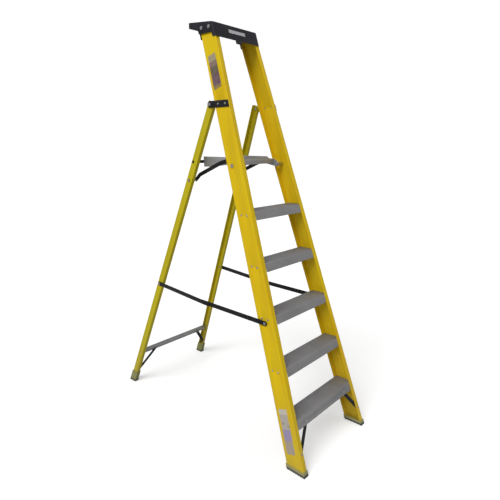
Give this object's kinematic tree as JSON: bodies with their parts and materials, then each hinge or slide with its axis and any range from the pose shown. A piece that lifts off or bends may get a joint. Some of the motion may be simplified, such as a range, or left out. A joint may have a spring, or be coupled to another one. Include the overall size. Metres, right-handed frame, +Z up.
{
  "type": "platform step ladder",
  "caption": "Folding yellow fibreglass platform step ladder with ribbed grey treads, a lifting platform, folding spreaders and a black tool-tray cap.",
  "frame": {"origin": "middle of the floor area that the open ladder covers, at floor height", "axes": "+Z up, -Y towards the person who climbs, +X to the right of someone seen from behind while climbing; the ladder is symmetric about the plane X = 0"},
  "size_m": [0.5962, 1.361, 2.0638],
  "materials": {
    "stile_yellow": "pultruded fibreglass, safety yellow, satin with fine lengthwise fibres",
    "leg_yellow": "pultruded fibreglass, safety yellow, satin",
    "tread_aluminium": "extruded aluminium, ribbed, dull",
    "platform_aluminium": "extruded and pressed aluminium, dull",
    "mill_aluminium": "mill finish aluminium",
    "rivet_aluminium": "aluminium rivets, satin",
    "zinc_steel": "zinc plated steel",
    "black_steel": "black powder coated steel",
    "black_nylon": "black nylon",
    "cap_black": "black moulded polypropylene, fine texture",
    "badge_grey": "blank grey label film",
    "label_film": "blank label film with plain colour blocks",
    "shoe_rubber": "dark grey rubber",
    "boot_rubber": "olive grey rubber"
  },
  "bodies": {
    "front_frame": {"stile_left": "stile_yellow", "stile_right": "stile_yellow", "tread_1": "tread_aluminium", "tread_2": "tread_aluminium", "tread_3": "tread_aluminium", "tread_4": "tread_aluminium", "tread_5": "tread_aluminium", "tread_brackets_left": "mill_aluminium", "tread_brackets_right": "mill_aluminium", "tread_rivets_left": "rivet_aluminium", "tread_rivets_right": "rivet_aluminium", "bottom_brace_left": "black_steel", "bottom_brace_right": "black_steel", "bottom_brace_rivets": "rivet_aluminium", "top_cap": "cap_black", "cap_badge": "badge_grey", "cap_screws": "zinc_steel", "hinge_bracket_left": "black_steel", "hinge_bracket_right": "black_steel", "hinge_rivets": "rivet_aluminium", "hinge_bolts": "zinc_steel", "hinge_washers": "black_nylon", "spreader_studs_front": "zinc_steel", "platform_pins": "zinc_steel", "platform_spacers": "zinc_steel", "foot_front_left": "shoe_rubber", "foot_front_right": "shoe_rubber", "label_upper": "label_film", "label_lower": "label_film"},
    "rear_frame": {"rear_leg_left": "leg_yellow", "rear_leg_right": "leg_yellow", "rear_rail": "mill_aluminium", "rear_brace_left": "black_steel", "rear_brace_right": "black_steel", "rear_brace_rivets": "rivet_aluminium", "rear_rail_rivets": "rivet_aluminium", "cross_tube": "black_steel", "foot_rear_left": "boot_rubber", "foot_rear_right": "boot_rubber", "foot_rear_rivets": "rivet_aluminium", "link_spacers": "zinc_steel", "link_bolts": "zinc_steel", "spreader_studs_rear": "zinc_steel"},
    "platform": {"platform_deck": "platform_aluminium", "platform_side_left": "platform_aluminium", "platform_side_right": "platform_aluminium", "platform_hook": "platform_aluminium", "platform_rivets": "rivet_aluminium"},
    "link_arm_left_body": {"link_arm_left": "black_steel"},
    "link_arm_right_body": {"link_arm_right": "black_steel"},
    "spreader_front_left_body": {"spreader_front_left": "black_steel"},
    "spreader_front_right_body": {"spreader_front_right": "black_steel"},
    "spreader_rear_left_body": {"spreader_rear_left": "black_steel"},
    "spreader_rear_right_body": {"spreader_rear_right": "black_steel"}
  },
  "joints": [
    {"name": "rear_fold", "type": "hinge", "parent": "front_frame", "child": "rear_frame", "pos_m": [0, 0.01741, 1.672], "axis": [1, 0, 0], "range_deg": [-39.6, 0]},
    {"name": "platform_lift", "type": "hinge", "parent": "front_frame", "child": "platform", "pos_m": [0, -0.14798, 1.383], "axis": [1, 0, 0], "range_deg": [0, 71.35]},
    {"name": "link_turn_left", "type": "hinge", "parent": "rear_frame", "child": "link_arm_left_body", "pos_m": [0, 0.15946, 1.3], "axis": [1, 0, 0], "range_deg": [-22.08, 0]},
    {"name": "spreader_front_turn_left", "type": "hinge", "parent": "front_frame", "child": "spreader_front_left_body", "pos_m": [0, -0.40233, 0.669], "axis": [1, 0, 0], "range_deg": [0, 69.35]},
    {"name": "spreader_rear_turn_left", "type": "hinge", "parent": "rear_frame", "child": "spreader_rear_left_body", "pos_m": [0, 0.38972, 0.697], "axis": [1, 0, 0], "range_deg": [-62.93, 0]},
    {"name": "link_turn_right", "type": "hinge", "parent": "rear_frame", "child": "link_arm_right_body", "pos_m": [0, 0.15946, 1.3], "axis": [1, 0, 0], "range_deg": [-22.08, 0]},
    {"name": "spreader_front_turn_right", "type": "hinge", "parent": "front_frame", "child": "spreader_front_right_body", "pos_m": [0, -0.40233, 0.669], "axis": [1, 0, 0], "range_deg": [0, 69.35]},
    {"name": "spreader_rear_turn_right", "type": "hinge", "parent": "rear_frame", "child": "spreader_rear_right_body", "pos_m": [0, 0.38972, 0.697], "axis": [1, 0, 0], "range_deg": [-62.93, 0]}
  ],
  "couplings": [
    {"joint": "platform_lift", "follows": "rear_fold", "ratio": -1.8005},
    {"joint": "link_turn_left", "follows": "rear_fold", "ratio": 0.5564},
    {"joint": "spreader_front_turn_left", "follows": "rear_fold", "ratio": -1.75},
    {"joint": "spreader_rear_turn_left", "follows": "rear_fold", "ratio": 1.5878},
    {"joint": "link_turn_right", "follows": "rear_fold", "ratio": 0.5564},
    {"joint": "spreader_front_turn_right", "follows": "rear_fold", "ratio": -1.75},
    {"joint": "spreader_rear_turn_right", "follows": "rear_fold", "ratio": 1.5878}
  ]
}
